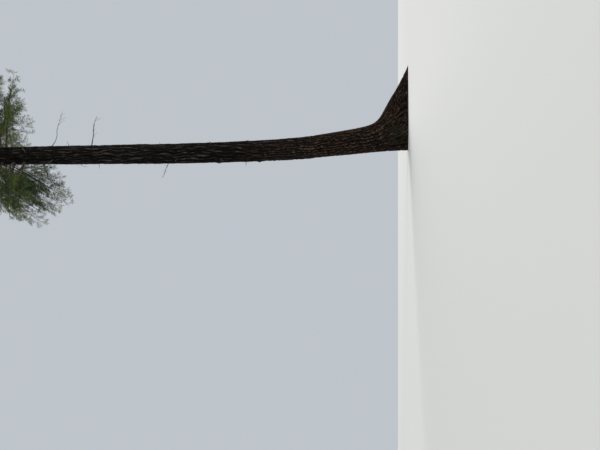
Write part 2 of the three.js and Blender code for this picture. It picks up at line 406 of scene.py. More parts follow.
def bark_material():
    """Old bark: plates low down and long ridges higher up, coloured by their relief, with painted shade in the furrows
    and painted highlights on the tops.
    """
    material, tree, shader = node_material("bark", (0.03, 0.022, 0.017), 0.93, 0.07)
    read = {}
    for key in ("relief", "tone", "high", "moss", "sweep"):
        node = tree.nodes.new("ShaderNodeAttribute")
        node.attribute_name = key
        read[key] = node.outputs["Fac"]
    # The grain stands upright on the trunk and follows the big root outwards.
    outwards = -math.radians(61)
    fine = mix_colours(tree, read["sweep"], noise_texture(tree, 58, 5, (1, 1, 0.2)), noise_texture(tree, 58, 5, (1, 1, 0.2), outwards))
    strands = noise_texture(tree, 25, 5, (1, 1, 0.1))
    flecks = mix_colours(tree, read["sweep"], noise_texture(tree, 36, 5, (1, 1, 0.42)), noise_texture(tree, 36, 5, (1, 1, 0.27), outwards))
    grain = mix_colours(tree, read["high"], flecks, strands)
    broad = noise_texture(tree, 2.3, 3, (1, 1, 0.5))
    rough = number(tree, "ADD", number(tree, "SUBTRACT", grain, 0.5), number(tree, "MULTIPLY", number(tree, "SUBTRACT", fine, 0.5), 0.45))
    # The relief is painted into the colour as shade in the furrows and highlights on the tops. On the long ridges the
    # strands show more, and the ridges themselves less.
    relief_painted_shade = number(tree, "MULTIPLY", read["relief"], number(tree, "SUBTRACT", 0.8, number(tree, "MULTIPLY", read["high"], 0.1)))
    strand = number(tree, "MULTIPLY", rough, number(tree, "ADD", 1.9, number(tree, "MULTIPLY", read["high"], 0.3)))
    painted_shade_and_grain = number(tree, "ADD", relief_painted_shade, strand)
    # Both ramps run from near-black furrows to light tops, as painted shade and painted highlights, and both are kept
    # very dark overall as painted shade for a trunk seen against the light.
    low = ramp(
        tree,
        [
            (0.0, (0.003, 0.0022, 0.0018)),
            (0.34, (0.0086, 0.0057, 0.0043)),
            (0.66, (0.0275, 0.0184, 0.0135)),
            (1.0, (0.1, 0.072, 0.0555)),
        ],
    )
    high = ramp(
        tree,
        [
            (0.1, (0.0024, 0.0022, 0.0021)),
            (0.38, (0.0062, 0.0056, 0.0053)),
            (0.62, (0.025, 0.0225, 0.0204)),
            (1.0, (0.092, 0.0845, 0.0745)),
        ],
    )
    tree.links.new(painted_shade_and_grain, low.inputs["Fac"])
    tree.links.new(painted_shade_and_grain, high.inputs["Fac"])
    colour = mix_colours(tree, read["high"], low.outputs["Color"], high.outputs["Color"])
    # Each plate or ridge is a little redder, greyer, lighter or darker than the next.
    warm = mix_colours(tree, read["tone"], (0.74, 0.7, 0.7), (1.3, 1.2, 1.1))
    colour = mix_colours(tree, 1.0, colour, warm, "MULTIPLY")
    patch = mix_colours(tree, broad, (0.7, 0.72, 0.74), (1.28, 1.24, 1.2))
    colour = mix_colours(tree, 1.0, colour, patch, "MULTIPLY")
    green = number(tree, "MULTIPLY", read["moss"], number(tree, "MULTIPLY", number(tree, "SUBTRACT", fine, 0.28), 2.2, True), True)
    colour = mix_colours(tree, green, colour, (0.018, 0.021, 0.0105))
    tree.links.new(colour, shader.inputs["Base Color"])
    tree.links.new(number(tree, "ADD", number(tree, "MULTIPLY", fine, 0.2), 0.78), shader.inputs["Roughness"])
    bump(tree, shader, noise_texture(tree, 95, 6, (1, 1, 0.3)), 0.55, 0.006)
    return material


def limb_material(name, dark, light, patch, scale):
    """Thinner bark: dark with paler scales and patches of lichen."""
    material, tree, shader = node_material(name, light, 0.9, 0.2)
    fine = noise_texture(tree, scale, 5)
    broad = noise_texture(tree, 3.2, 4)
    tones = ramp(tree, [(0.3, dark), (0.62, light)])
    tree.links.new(fine, tones.inputs["Fac"])
    where = ramp(tree, [(0.52, (0, 0, 0)), (0.66, (1, 1, 1))])
    tree.links.new(broad, where.inputs["Fac"])
    colour = mix_colours(tree, where.outputs["Color"], tones.outputs["Color"], patch)
    tree.links.new(colour, shader.inputs["Base Color"])
    bump(tree, shader, fine, 0.6, 0.004)
    return material


def plain_material(name, colour, rough, specular, scale):
    """One base colour, with fine unevenness in its gloss and surface."""
    material, tree, shader = node_material(name, colour, rough, specular)
    fine = noise_texture(tree, scale, 2)
    tree.links.new(number(tree, "ADD", number(tree, "MULTIPLY", fine, 0.3), rough - 0.15), shader.inputs["Roughness"])
    bump(tree, shader, fine, 0.25, 0.002)
    return material


# ---------------------------------------------------------------------- camera
PITCH = math.radians(12.25)
camera = bpy.data.cameras.new("camera")
camera.lens = 27
camera.sensor_width = 36
camera.clip_end = 1000
eye = bpy.data.objects.new("camera", camera)
bpy.context.scene.collection.objects.link(eye)
sp, cp = math.sin(PITCH), math.cos(PITCH)
# The photograph lies on its side: the picture's right edge points to the ground.
eye.matrix_world = Matrix(
    ((0, 1, 0, -2.31), (sp, 0, -cp, -11.5), (-cp, 0, -sp, 0.25), (0, 0, 0, 1))
)
bpy.context.scene.camera = eye


# ----------------------------------------------------------------------- trunk
def trunk_rows():
    """Heights of the trunk's rows, with the number of points in each."""
    z = np.linspace(0, 1.25, 4000)
    x = trunk_radius(z, np.zeros_like(z))
    run = np.concatenate([[0], np.cumsum(np.hypot(np.diff(z), np.diff(x)))])
    flare = np.interp(np.arange(0, run[-1], 0.0168), run, z)
    rows = [(float(v), 176) for v in flare]
    level = flare[-1]
    for top, step, count in ((4.4, 0.0195, 176), (13.2, 0.043, 176), (24, 0.1, 88), (HEIGHT, 0.19, 44)):
        n = max(1, round((top - level) / step))
        rows += [(level + (top - level) * (i + 1) / n, count) for i in range(n)]
        level = top
    return rows


KNOBS = [
    # height, direction, size, how far it stands out: as seen on the left edge
    (5.0, 182, 0.05, 0.03),
    (3.86, 178, 0.045, 0.03),
    (3.56, 186, 0.04, 0.024),
]
for i in range(26):
    KNOBS.append((2.2 + 10.5 * chance(i, 301), 360 * chance(i, 302), spread(i, 303, 0.025, 0.05), spread(i, 304, 0.008, 0.02)))


def trunk_shape(z, a, along):
    """Lumps bigger than the bark's own relief."""
    out = np.zeros_like(z)
    # Flutes that run down into the foot.
    q = np.stack([3.1 * np.cos(a) + 9, 3.1 * np.sin(a) + 9, along * 0.55], 1)
    out += 0.012 * noise(q * 1.15, 5) + 0.022 * noise(q * 2.3, 6) * np.exp(-z / 0.55)
    # The rib that comes down across the front into the root, and the hollow below it.
    t = np.clip((0.78 - z) / 0.5, 0, 1.1)
    line = np.radians(-75 + 50 * t)
    rib = np.exp(-((turned(a, line) / 0.11) ** 2)) * smooth(1.0, 0.7, z) * smooth(0.12, 0.3, z)
    out += 0.045 * rib
    for towards, width, height, high, deep in (
        (-58, 0.13, 0.2, 0.17, 0.09),
        (-84, 0.07, 0.1, 0.26, 0.035),
        (-112, 0.1, 0.05, 0.34, 0.055),
        (-140, 0.09, 0.1, 0.4, 0.035),
        (-27, 0.07, 0.12, 0.16, 0.03),
        (100, 0.1, 0.05, 0.4, 0.05),
        (50, 0.12, 0.1, 0.3, 0.05),
    ):
        out -= deep * np.exp(-((turned(a, math.radians(towards)) / width) ** 2)) * np.exp(-(((z - height) / high) ** 2))
    for height, towards, size, high in KNOBS:
        r = station(z, 3)
        d2 = ((z - height) / size) ** 2 + (turned(a, math.radians(towards)) * r / size) ** 2
        out += high * np.exp(-d2)
    return out


def bark_relief(round_x, round_y, along, z, r, fold=1):
    """The bark's own relief, 0 in the furrows and 1 on top, with a number for each part of it.

    Its lines run up the trunk at whole shares of the way round, and fold doubles their number.
    """
    round_x, round_y = fold * round_x, fold * round_y
    turn = fold * np.arctan2(round_y, round_x) / (2 * np.pi)

    def place(size, stretch, shift):
        return np.stack([round_x / size, round_y / size, along / (size * stretch)], 1) + shift

    sway = [waves(place(0.16, 2.2, 30 + 9 * k), 30 + k) for k in range(2)]
    twist = [waves(place(0.05, 2.5, 60 + 9 * k), 34 + k) for k in range(3)]

    def off_middle(lines):
        """0 on the middle of each strip between two lines, 1 on the lines."""
        return np.abs(lines - np.floor(lines) - 0.5) * 2

    def bent(size, stretch, shift, far, near):
        q = place(size, stretch, shift)
        q[:, 0] += (far * sway[0] + near * twist[0]) / size
        q[:, 1] += (far * sway[1] + near * twist[1]) / size
        q[:, 2] += near * 2 * twist[2] / (size * stretch)
        return q

    tone = 0.5 + 0.5 * np.clip(waves(place(0.06, 2.6, 90), 39) * 1.3, -1, 1)
    streak = 0.5 + 0.5 * np.clip(waves(bent(0.05, 8.0, 190, 0.02, 0.006), 40) * 1.5, -1, 1)
    # Low down: seams that run up the trunk and seams that cross them, with flakes on the plates between.
    seams = SEAMS * turn + 0.5 * waves(place(0.25, 1.5, 600), 51) + 0.3 * waves(place(0.11, 2.2, 610), 52) + 0.12 * waves(place(0.04, 2.5, 620), 53)
    splits = CROSSING_SEAMS * turn + 1.5 * waves(place(0.25, 0.7, 630), 54) + 0.8 * waves(place(0.12, 1.1, 640), 55) + 0.14 * waves(place(0.04, 2.0, 650), 56)
    flake = waves(bent(0.028, 1.6, 350, 0.0, 0.01), 14)
    low = (0.1 + 0.9 * smooth(0.95, 0.5, off_middle(seams))) * (0.3 + 0.7 * smooth(0.95, 0.6, off_middle(splits)))
    low = low * (0.76 + 0.2 * tone) + 0.22 * flake
    # Higher up: two sets of long flat-topped ridges that part and join again, with furrows between.
    line = RIDGES * turn + 0.6 * waves(place(0.27, 1.5, 550), 45) + 0.3 * waves(place(0.13, 2.6, 500), 41) + 0.1 * waves(place(0.045, 4.0, 510), 42)
    cross = CROSSING_RIDGES * turn + 0.85 * waves(place(0.3, 1.3, 570), 46) + 0.4 * waves(place(0.16, 2.4, 520), 43) + 0.1 * waves(place(0.05, 4.0, 530), 44)
    first = smooth(0.5, 0.24, off_middle(line))
    second = smooth(0.42, 0.18, off_middle(cross))
    third = smooth(0.4, 0.1, np.abs(waves(bent(0.032, 6.5, 270, 0.01, 0.005), 23)))
    chips = waves(place(0.03, 2.2, 370), 24)
    broken = 0.64 + 0.36 * smooth(-0.5, 0.1, waves(place(0.055, 3.2, 470), 25))
    high = np.maximum(first * (0.72 + 0.28 * streak), second * (0.56 + 0.3 * streak)) * broken
    high = np.maximum(high, third * 0.26) * (0.88 + 0.12 * third) + 0.08 * chips
    up = smooth(*BARK_CHANGE, z + 1.1 * sway[0])
    relief = low * (1 - up) + high * up
    tone = tone * (1 - up) + (0.3 * tone + 0.7 * streak) * up
    grey = smooth(*BARK_GREYS, z + 1.5 * sway[1])
    depth = (PLATE_DEPTH * (1 - up) + RIDGE_DEPTH * up) * np.minimum(1, (r / 0.262) ** 0.9)
    return relief, tone, grey, depth


def build_trunk():
    rows = trunk_rows()
    grids = []
    for z, count in rows:
        a = 2 * np.pi * (np.arange(count) / count)
        a = a - 0.7 * float(smooth(1.7, 0.4, z)) * np.sin(a)  # closer together on the big root
        r = trunk_radius(np.full(count, z), a)
        grids.append(np.stack([station(z, 1) + r * np.cos(a), station(z, 2) + r * np.sin(a), np.full(count, z), a], 1))
    # Distance along the surface up each line, and the round, even frame the bark grows in.
    along = [np.zeros(rows[0][1])]
    frames = []
    for i, g in enumerate(grids):
        if i:
            below, run = grids[i - 1], along[-1]
            if len(below) != len(g):
                below, run = below[:: len(below) // len(g)], run[:: len(run) // len(g)]
            along.append(run + np.linalg.norm(g[:, :3] - below[:, :3], axis=1))
        step = np.linalg.norm(np.roll(g, -1, 0)[:, :2] - g[:, :2], axis=1)
        run = np.concatenate([[0], np.cumsum(step)])
        girth = run[-1]
        half = len(g) // 2
        turn = (run[:-1] - run[half]) / girth * 2 * np.pi + np.pi
        size = girth / (2 * np.pi)
        wider = np.full(len(g), size / BARK_ROUND)
        size = BARK_ROUND if size > BARK_ROUND else size * (BARK_ROUND / max(size, 0.01)) ** 0.45
        frames.append(np.stack([size * np.cos(turn), size * np.sin(turn), wider], 1))
    # Outward directions, from the neighbours on the plain surface, and how far it sweeps outwards.
    normals = []
    sweep = []
    for i, g in enumerate(grids):
        p = g[:, :3]
        round_way = np.roll(p, -1, 0) - np.roll(p, 1, 0)
        z, count = rows[i]
        lift = 0.004
        r1 = trunk_radius(np.full(count, z + lift), g[:, 3])
        q = np.stack([station(z + lift, 1) + r1 * np.cos(g[:, 3]), station(z + lift, 2) + r1 * np.sin(g[:, 3]), np.full(count, z + lift)], 1)
        normals.append(unit(np.cross(round_way, q - p)))
        sweep.append(smooth(0.35, 1.1, (trunk_radius(np.full(count, z), g[:, 3]) - r1) / lift))
    p = np.concatenate(grids)
    along = np.concatenate(along)
    frames = np.concatenate(frames)
    normals = np.concatenate(normals)
    radius = station(p[:, 2], 3)
    plain = bark_relief(frames[:, 0], frames[:, 1], along, p[:, 2], radius)
    # Where the foot is far wider than the trunk, its ridges are twice as many.
    double = bark_relief(frames[:, 0], frames[:, 1], along, p[:, 2], radius, 2)
    wide = smooth(1.35, 2.0, frames[:, 2])
    relief, tone, high, depth = (a * (1 - wide) + b * wide for a, b in zip(plain, double))
    shape = trunk_shape(p[:, 2], p[:, 3], along) * np.minimum(1, radius / 0.2)
    move = (depth * (relief - 0.45) + shape)[:, None] * normals
    lowest = p[:, 2] < 1e-6
    move[lowest, 2] = 0
    tip = smooth(HEIGHT, HEIGHT - 1.5, p[:, 2])[:, None]
    points = p[:, :3] + move * tip
    points[:, 2] = np.where(lowest, 0, np.maximum(points[:, 2], 0.003))
    moss = np.exp(-(((p[:, 3] - 2 * np.pi * (p[:, 3] > np.pi)) - math.radians(-95)) / 0.75) ** 2) * smooth(0.75, 0.1, p[:, 2])
    moss = np.maximum(moss, 0.22 * smooth(6, 10, p[:, 2]) * smooth(-0.1, 0.5, noise(p[:, :3] * np.array([4, 4, 0.9]), 91)))
    # Faces: equal rings, and rings with half as many points above.
    tris = []
    start = 0
    for i in range(len(rows) - 1):
        n, m = rows[i][1], rows[i + 1][1]
        up = start + n
        if n == m:
            # Each cell is split along the diagonal that follows the bark's lines.
            s = np.arange(n)
            t = (s + 1) % n
            a, b, c, d = start + s, start + t, up + t, up + s
            rising = np.abs(relief[a] - relief[c]) <= np.abs(relief[b] - relief[d])
            tris.append(np.stack([a, b, np.where(rising, c, d)], 1))
            tris.append(np.stack([np.where(rising, a, b), c, d], 1))
        else:
            s = np.arange(m)
            t = (s + 1) % m
            tris.append(np.stack([start + 2 * s, start + 2 * s + 1, up + s], 1))
            tris.append(np.stack([start + 2 * s + 1, start + 2 * t, up + t], 1))
            tris.append(np.stack([start + 2 * s + 1, up + t, up + s], 1))
        start = up
    n0 = rows[0][1]
    s = np.arange(n0)
    centre = len(points)
    tris.append(np.stack([(s + 1) % n0, s, np.full(n0, centre)], 1))
    n1 = rows[-1][1]
    s = np.arange(n1)
    tris.append(np.stack([start + s, start + (s + 1) % n1, np.full(n1, centre + 1)], 1))
    ends = np.array([[station(0, 1), station(0, 2), 0], [station(HEIGHT, 1), station(HEIGHT, 2), HEIGHT + 0.01]])
    points = np.concatenate([points, ends])
    extra = [0.5, 0.5]
    sweep = np.concatenate(sweep)
    marks = {k: np.concatenate([v, extra]) for k, v in (("relief", relief), ("tone", tone), ("high", high), ("moss", moss), ("sweep", sweep))}
    piece = make_piece("trunk_bark", points, np.concatenate(tris), bark_material(), True, marks)
    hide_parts("trunk")


build_trunk()


# ----------------------------------------------------------------------- crown
def crown_radius(z):
    h = (z - CROWN_FOOT) / (HEIGHT - CROWN_FOOT)
    return (CROWN_RADIUS / 0.77) * min(1, 0.55 + 1.6 * h) * (1 - h) ** 0.75


def mass_sizes(j):
    up = j / (MASS_COUNT - 1)
    foot = MASS_FIRST + (MASS_LAST - MASS_FIRST) * (1 - (1 - up) ** CLOSING_UP) + spread(j, 1, -0.26, 0.26) * (1 - 0.7 * up)
    azimuth = math.radians(TURN * j + 205 + spread(j, 2, -13, 13))
    sparse = 0.66 + 0.05 * j if j < SPARSE_MASSES else 1.0
    tip = crown_radius(foot) * spread(j, 3, 0.84, 1.06) * (0.4 + 0.6 * sparse)
    bare = j < BARE_MASSES
    start = tip * (0.27 - 0.12 * (j / BARE_MASSES)) * spread(j, 4, 0.85, 1.15) if bare else 0.02 * tip
    wide = min(MASS_SIDE, 0.14 + tip * 0.47) * spread(j, 5, 0.85, 1.12) * sparse
    thick = min(MASS_UP, 0.26 + tip * 0.34) * spread(j, 6, 0.85, 1.12) * sparse
    return dict(
        seed=j,
        up=up,
        foot=foot,
        azimuth=azimuth,
        tip=tip,
        start=start,
        wide=wide,
        thick=thick,
        bare=bare,
        rise=0.02 + 0.9 * up**1.5,
        sag=2.0 - 1.6 * up,
        base=(BOUGH_ROOT_RADIUS - 0.012 * up) * spread(j, 7, 0.85, 1.15),
        phase=6.28 * chance(j, 8),
        x=float(station(foot, 1)),
        y=float(station(foot, 2)),
    )


masses = [mass_sizes(j) for j in range(MASS_COUNT)]
M = {k: np.array([m[k] for m in masses], float) for k in masses[0]}
LUMP_TURNS = np.array([[6.28 * chance(j, 20 + k) for k in range(4)] for j in range(MASS_COUNT)])


def in_world(j, along, across, lift):
    """Points given by their place in mass j: out along its bough, across it, and above it."""
    az = M["azimuth"][j]
    wander = 0.03 * along * np.sin(along / 0.7 + M["phase"][j])
    b = across + wander
    z = M["foot"][j] + M["rise"][j] * along - M["sag"][j] * (along / 4) ** 2
    hang = -0.16 * across**2 / M["wide"][j]
    return np.stack(
        [
            M["x"][j] + along * np.cos(az) - b * np.sin(az),
            M["y"][j] + along * np.sin(az) + b * np.cos(az),
            z + lift + hang,
        ],
        -1,
    )


def depth_in_mass(j, p):
    """0 in the middle of mass j, 1 on its uneven surface, more outside."""
    az = M["azimuth"][j]
    x, y = p[..., 0] - M["x"][j], p[..., 1] - M["y"][j]
    along = x * np.cos(az) + y * np.sin(az)
    across = -x * np.sin(az) + y * np.cos(az) - 0.03 * along * np.sin(along / 0.7 + M["phase"][j])
    z = M["foot"][j] + M["rise"][j] * along - M["sag"][j] * (along / 4) ** 2
    lift = p[..., 2] - z + 0.16 * across**2 / M["wide"][j] + 0.1 * M["thick"][j]
    middle, half = (M["start"][j] + M["tip"][j]) / 2, (M["tip"][j] - M["start"][j]) / 2
    a = (along - middle) / half
    fan = 1 + 0.25 * a - 0.2 * a * a
    b = across / (M["wide"][j] * np.maximum(fan, 0.3))
    c = lift / (M["thick"][j] * np.where(lift < 0, 1.2, 0.9))
    far = np.sqrt(a * a + b * b + c * c)
    s = np.maximum(far, 1e-6)
    u, v, w = a / s, b / s, c / s
    t = LUMP_TURNS[j]
    lumps = (
        0.42 * np.sin(3.3 * u + t[..., 0]) * np.cos(2.9 * v + t[..., 1])
        + 0.33 * np.sin(5.2 * v + 2.4 * w + t[..., 2])
        + 0.25 * np.cos(6.4 * u - 4.1 * w + t[..., 3])
    )
    return far / (1 + LUMPS * lumps)


# Where the boughs of a mass run in it: share of its half width, share of its half height.
BOUGH_PLACES = [
    (0.0, 0.0),
    (-0.6, 0.3),
    (0.62, -0.08),
    (-0.28, -0.55),
    (0.32, 0.62),
    (0.3, -0.66),
    (-0.5, 0.7),
    (-0.72, -0.25),
]


def grow_boughs():
    """Every live bough: its path, its radii, its mass, and where its needles begin."""
    boughs = []
    for j, m in enumerate(masses):
        count = 7 if j < SPARSE_MASSES else 8 if m["tip"] > 2.4 else 7 if m["tip"] > 1.5 else 5
        for n in range(count):
            key = j * 9 + n
            side, high = BOUGH_PLACES[n]
            if n:
                side += spread(key, 401, -0.1, 0.1)
                high += spread(key, 402, -0.12, 0.12)
            # Each leaves the trunk at its own height and in its own direction.
            first = 0.6 * float(station(m["foot"], 3))
            r = np.linspace(first, m["tip"] * 1.02, 60)
            t = (r - first) / (m["tip"] - first)
            out = (1 - np.exp(-t / 0.42)) / (1 - math.exp(-1 / 0.42))
            p = in_world(j, r, side * m["wide"] * out, high * m["thick"] * (0.95 - 0.3 * t))
            inside = depth_in_mass(j, p) < 0.97
            last = np.nonzero(inside)[0]
            if len(last) < 8:
                continue
            end = last[-1]
            p, r = p[: end + 1], r[: end + 1]
            run = np.concatenate([[0], np.cumsum(np.linalg.norm(np.diff(p, axis=0), axis=1))])
            at = np.linspace(0, run[-1], 16)
            path = np.stack([np.interp(at, run, p[:, k]) for k in range(3)], 1)
            out_at = np.interp(at, run, r)
            # A gentle crook from node to node.
            kink = np.array([[chance(key, 500 + 3 * i + k) - 0.5 for k in range(3)] for i in range(16)])
            path += kink * 0.035 * np.minimum(1, np.linspace(0, 3, 16))[:, None]
            base = m["base"] * (1.0 if n == 0 else spread(key, 404, 0.55, 0.78))
            reach = m["start"] + 0.3 * (m["tip"] - m["start"])
            radius = np.where(
                out_at < reach,
                base * (1 - 0.4 * out_at / reach),
                base * 0.6 * (1 - 0.82 * (out_at - reach) / (m["tip"] - reach)),
            )
            radius = radius * (1 + 0.7 * np.exp(-((out_at - station(m["foot"], 3)) / 0.06) ** 2))
            needles_from = max(0.1 + float(station(m["foot"], 3)), m["start"] * spread(key, 405, 0.75, 1.15))
            boughs.append(dict(j=j, free=False, path=path, radius=radius, out=out_at, length=run[-1], first=needles_from))
    # Short boughs between the masses, close to the trunk.
    feet = np.array([m["foot"] for m in masses])
    for n in range(FILLER_BOUGHS):
        up = (n + 0.5) / FILLER_BOUGHS
        z = FILLER_LOW + (FILLER_HIGH - FILLER_LOW) * up + spread(n, 411, -0.15, 0.15)
        m = masses[int(np.argmin(np.abs(feet - z)))]
        a = math.radians(137.5 * n + spread(n, 412, -20, 20))
        begin = 0.6 * float(station(z, 3))
        reach = crown_radius(z) * spread(n, 413, 0.26, 0.56)
        r = np.linspace(begin, reach, 16)
        bend = 0.05 * reach * np.sin(r / reach * 4 + 6.28 * chance(n, 414))
        path = np.stack(
            [
                float(station(z, 1)) + r * math.cos(a) - bend * math.sin(a),
                float(station(z, 2)) + r * math.sin(a) + bend * math.cos(a),
                z + (m["rise"] + 0.1) * r - 0.16 * (1 - up) * r * r,
            ],
            1,
        )
        radius = 0.014 * (0.5 + 0.5 * reach) * (1 - 0.8 * (r - begin) / (reach - begin))
        length = float(np.linalg.norm(np.diff(path, axis=0), axis=1).sum())
        boughs.append(dict(j=m["seed"], free=True, path=path, radius=radius, out=r, length=length, first=0.08 + float(station(z, 3))))
    return boughs


boughs = grow_boughs()


def build_boughs():
    rng = np.random.default_rng(SEED)
    parts = []
    for free, sides, rows in ((False, 7, range(16)), (True, 5, [0, 2, 4, 6, 8, 10, 12, 15])):
        paths = np.array([b["path"][rows] for b in boughs if b["free"] == free])
        radii = np.array([b["radius"][rows] for b in boughs if b["free"] == free])
        jog = rng.uniform(0.84, 1.13, (*radii.shape, sides))
        parts.append(tubes(paths, radii[:, :, None] * jog, sides))
    verts, tris = join(parts)
    material = limb_material("bough_bark", (0.02, 0.0155, 0.012), (0.075, 0.06, 0.048), (0.105, 0.11, 0.08), 34)
    piece = make_piece("live_boughs", verts, tris, material)
    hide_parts(*[f"bough_{k + 1:02d}" for k in range(BARE_MASSES)])
    return material


def grow_sides(rng):
    """Side branches, on alternate sides of each bough, in flat drooping fans."""
    rows = []
    for k, b in enumerate(boughs):
        m = masses[b["j"]]
        run = np.linspace(0, b["length"], 16)
        begin = np.interp(b["first"], b["out"], run)
        at = np.arange(begin + 0.04, b["length"] - 0.03, SIDE_STEP * spread(k, 601, 0.9, 1.1))
        if len(at) < 2:
            continue
        at = at + rng.uniform(-0.03, 0.03, len(at))
        p = np.stack([np.interp(at, run, b["path"][:, i]) for i in range(3)], 1)
        ahead = np.stack([np.interp(at + 0.08, run, b["path"][:, i]) for i in range(3)], 1)
        behind = np.stack([np.interp(at - 0.08, run, b["path"][:, i]) for i in range(3)], 1)
        t = (at - begin) / max(b["length"] - begin, 0.1)
        radius = np.interp(at, run, b["radius"])
        hand = np.where((np.arange(len(at)) + k) % 2 == 0, 1.0, -1.0)
        for i in range(len(at)):
            rows.append((k, b["j"], m["up"], t[i], hand[i], radius[i], *p[i], *unit(ahead[i] - behind[i]), b["free"], b["length"]))
    rows = np.array(rows)
    j = rows[:, 1].astype(int)
    up, t, hand = rows[:, 2], rows[:, 3], rows[:, 4]
    free = rows[:, 12] > 0.5
    base, ahead = rows[:, 6:9], rows[:, 9:12]
    n = len(rows)
    flat = unit(np.cross(Z, ahead))
    angle = np.radians(rng.normal(57, 7, n))
    # Each bough's fan leans to one side, and some side branches stand above or hang below it.
    bank = np.array([spread(int(k), 602, -0.5, 0.5) for k in rows[:, 0]])
    rise = hand * bank + rng.normal(0.0, 0.26, n) + 0.25 * up - 0.15 * (1 - up)
    start = unit(ahead * np.cos(angle)[:, None] + flat * (hand * np.sin(angle))[:, None] + Z * rise[:, None])
    shape = (1 - 0.86 * t) * (0.5 + 0.5 * smooth(0, 0.2, t))
    longest = np.minimum(SIDE_LONGEST, 0.2 + 0.62 * M["wide"][j])
    longest = np.where(free, np.minimum(0.8, 0.14 + 0.5 * rows[:, 13]), longest)
    length = np.maximum(0.14, longest * shape * rng.uniform(0.72, 1.12, n))
    droop = rng.uniform(0.35, 1.15, n) * (1 - 0.6 * up)
    s = np.linspace(0, 1, 5)

    def path_of(size):
        x = s[None] * size[:, None]
        forward = ahead[:, None] * (0.18 * x**2 / np.maximum(size, 0.1)[:, None])[..., None]
        return base[:, None] + start[:, None] * x[..., None] + forward - Z * (droop[:, None] * x**2)[..., None]

    best = np.zeros(n)
    for share in (0.25, 0.4, 0.55, 0.7, 0.85, 1.0):
        tip = path_of(length * share)[:, -1]
        ok = (depth_in_mass(j, tip) < 1.0) | free
        best = np.where(ok, share, best)
    keep = best > 0
    length = length * best
    paths = path_of(length)
    paths[:, 1:] += rng.normal(0, 0.008, (n, 4, 3)) * s[None, 1:, None]
    thick = np.minimum(rows[:, 5] * 0.6, 0.0035 + 0.0075 * length)
    radii = thick[:, None] * (1 - 0.72 * s[None])
    out = dict(j=j, up=up, t=t, length=length, thick=thick, paths=paths, radii=radii, free=free)
    return {k: v[keep] for k, v in out.items()}


def grow_twigs(rng, sides):
    """Twigs on alternate sides of the side branches, hanging more low in the crown."""
    count = np.maximum(2, np.floor((sides["length"] * 0.9) / TWIG_STEP)).astype(int)
    owner = np.repeat(np.arange(len(count)), count)
    order = np.arange(len(owner)) - np.repeat(np.cumsum(count) - count, count)
    n = len(owner)
    s = 0.1 + 0.86 * (order + rng.uniform(0.15, 0.85, n)) / count[owner]
    at = s * 4
    i = np.minimum(at.astype(int), 3)
    f = (at - i)[:, None]
    paths = sides["paths"][owner]
    rows = np.arange(n)
    base = paths[rows, i] * (1 - f) + paths[rows, i + 1] * f
    ahead = unit(paths[rows, i + 1] - paths[rows, i])
    flat = unit(np.cross(Z, ahead))
    hand = np.where(order % 2 == 0, 1.0, -1.0)
    up = sides["up"][owner]
    angle = np.radians(rng.normal(52, 8, n))
    hang = rng.uniform(0.0, 2.2, n) ** 1.2 * (1 - 0.75 * up) + rng.normal(0, 0.22, n) - 0.1 * up
    way = unit(ahead * np.cos(angle)[:, None] + flat * (hand * np.sin(angle))[:, None] - Z * hang[:, None])
    length = (0.1 + 0.38 * sides["length"][owner] * (1 - s) ** 0.7) * rng.uniform(0.7, 1.35, n)
    length = np.clip(length, 0.09, 0.45)
    tip = base + way * length[:, None]
    free = sides["free"][owner]
    far = depth_in_mass(sides["j"][owner], tip)
    length = np.where((far > 1.04) & ~free, length * 0.6, length)
    tip = base + way * length[:, None]
    far = depth_in_mass(sides["j"][owner], tip)
    keep = ((far < 1.08) | free) & (tip[:, 2] < HEIGHT)
    thick = np.minimum(sides["thick"][owner] * 0.6, 0.0024 + 0.006 * length)
    out = dict(owner=owner, base=base, way=way, length=length, thick=thick, up=up, j=sides["j"][owner])
    return {k: v[keep] for k, v in out.items()}


def needles_on(rng, base, way, length, step, low=0.1):
    """Places of the needles along straight twigs: point, twig direction, and twig number."""
    count = np.floor(length * (1 - low) / step + rng.random(len(length))).astype(int)
    owner = np.repeat(np.arange(len(count)), count)
    order = np.arange(len(owner)) - np.repeat(np.cumsum(count) - count, count)
    s = low + (1 - low) * (order + rng.uniform(0.2, 0.8, len(owner))) / count[owner]
    p = base[owner] + way[owner] * (length[owner] * s)[:, None]
    return p, way[owner], owner, order, s


def needle_gap(up):
    """How far apart the needles stand at a height in the crown, beside the middle of it."""
    return 0.92 + 0.16 * up


def needle_blades(rng, p, way, order, s, size):
    """One slim blade of two faces for each needle, in ranks round its twig."""
    n = len(p)
    flat = unit(np.cross(Z, way) + 1e-6)
    above = np.cross(way, flat)
    ranks = np.radians(np.array([82.0, -82.0, 38.0, -38.0, 100.0, -100.0]))
    roll = ranks[order % 6] + rng.normal(0, 0.26, n)
    lean = np.radians(rng.normal(58, 9, n)) * (1 - 0.45 * smooth(0.85, 1.0, s))
    out = above * np.cos(roll)[:, None] + flat * np.sin(roll)[:, None]
    d = unit(way * np.cos(lean)[:, None] + out * np.sin(lean)[:, None])
    face = unit(above + 0.75 * rng.normal(0, 1, (n, 3)))
    w = unit(np.cross(d, face))
    bow = np.cross(w, d)
    long = NEEDLE_LONG * size * rng.uniform(0.75, 1.2, n) * (1 - 0.25 * smooth(0.8, 1, s))
    wide = NEEDLE_WIDE * size * rng.uniform(0.85, 1.15, n)
    long, wide = long[:, None], wide[:, None]
    verts = np.stack(
        [
            p - w * wide * 0.32,
            p + w * wide * 0.32,
            p + d * long * 0.78 + w * wide * 0.5 + bow * long * 0.05,
            p + d * long - w * wide * 0.22 - bow * long * 0.03,
        ],
        1,
    )
    verts[:, 3] = np.where(rng.random((n, 1)) < 0.5, verts[:, 3], p + d * long * 0.98)
    return verts


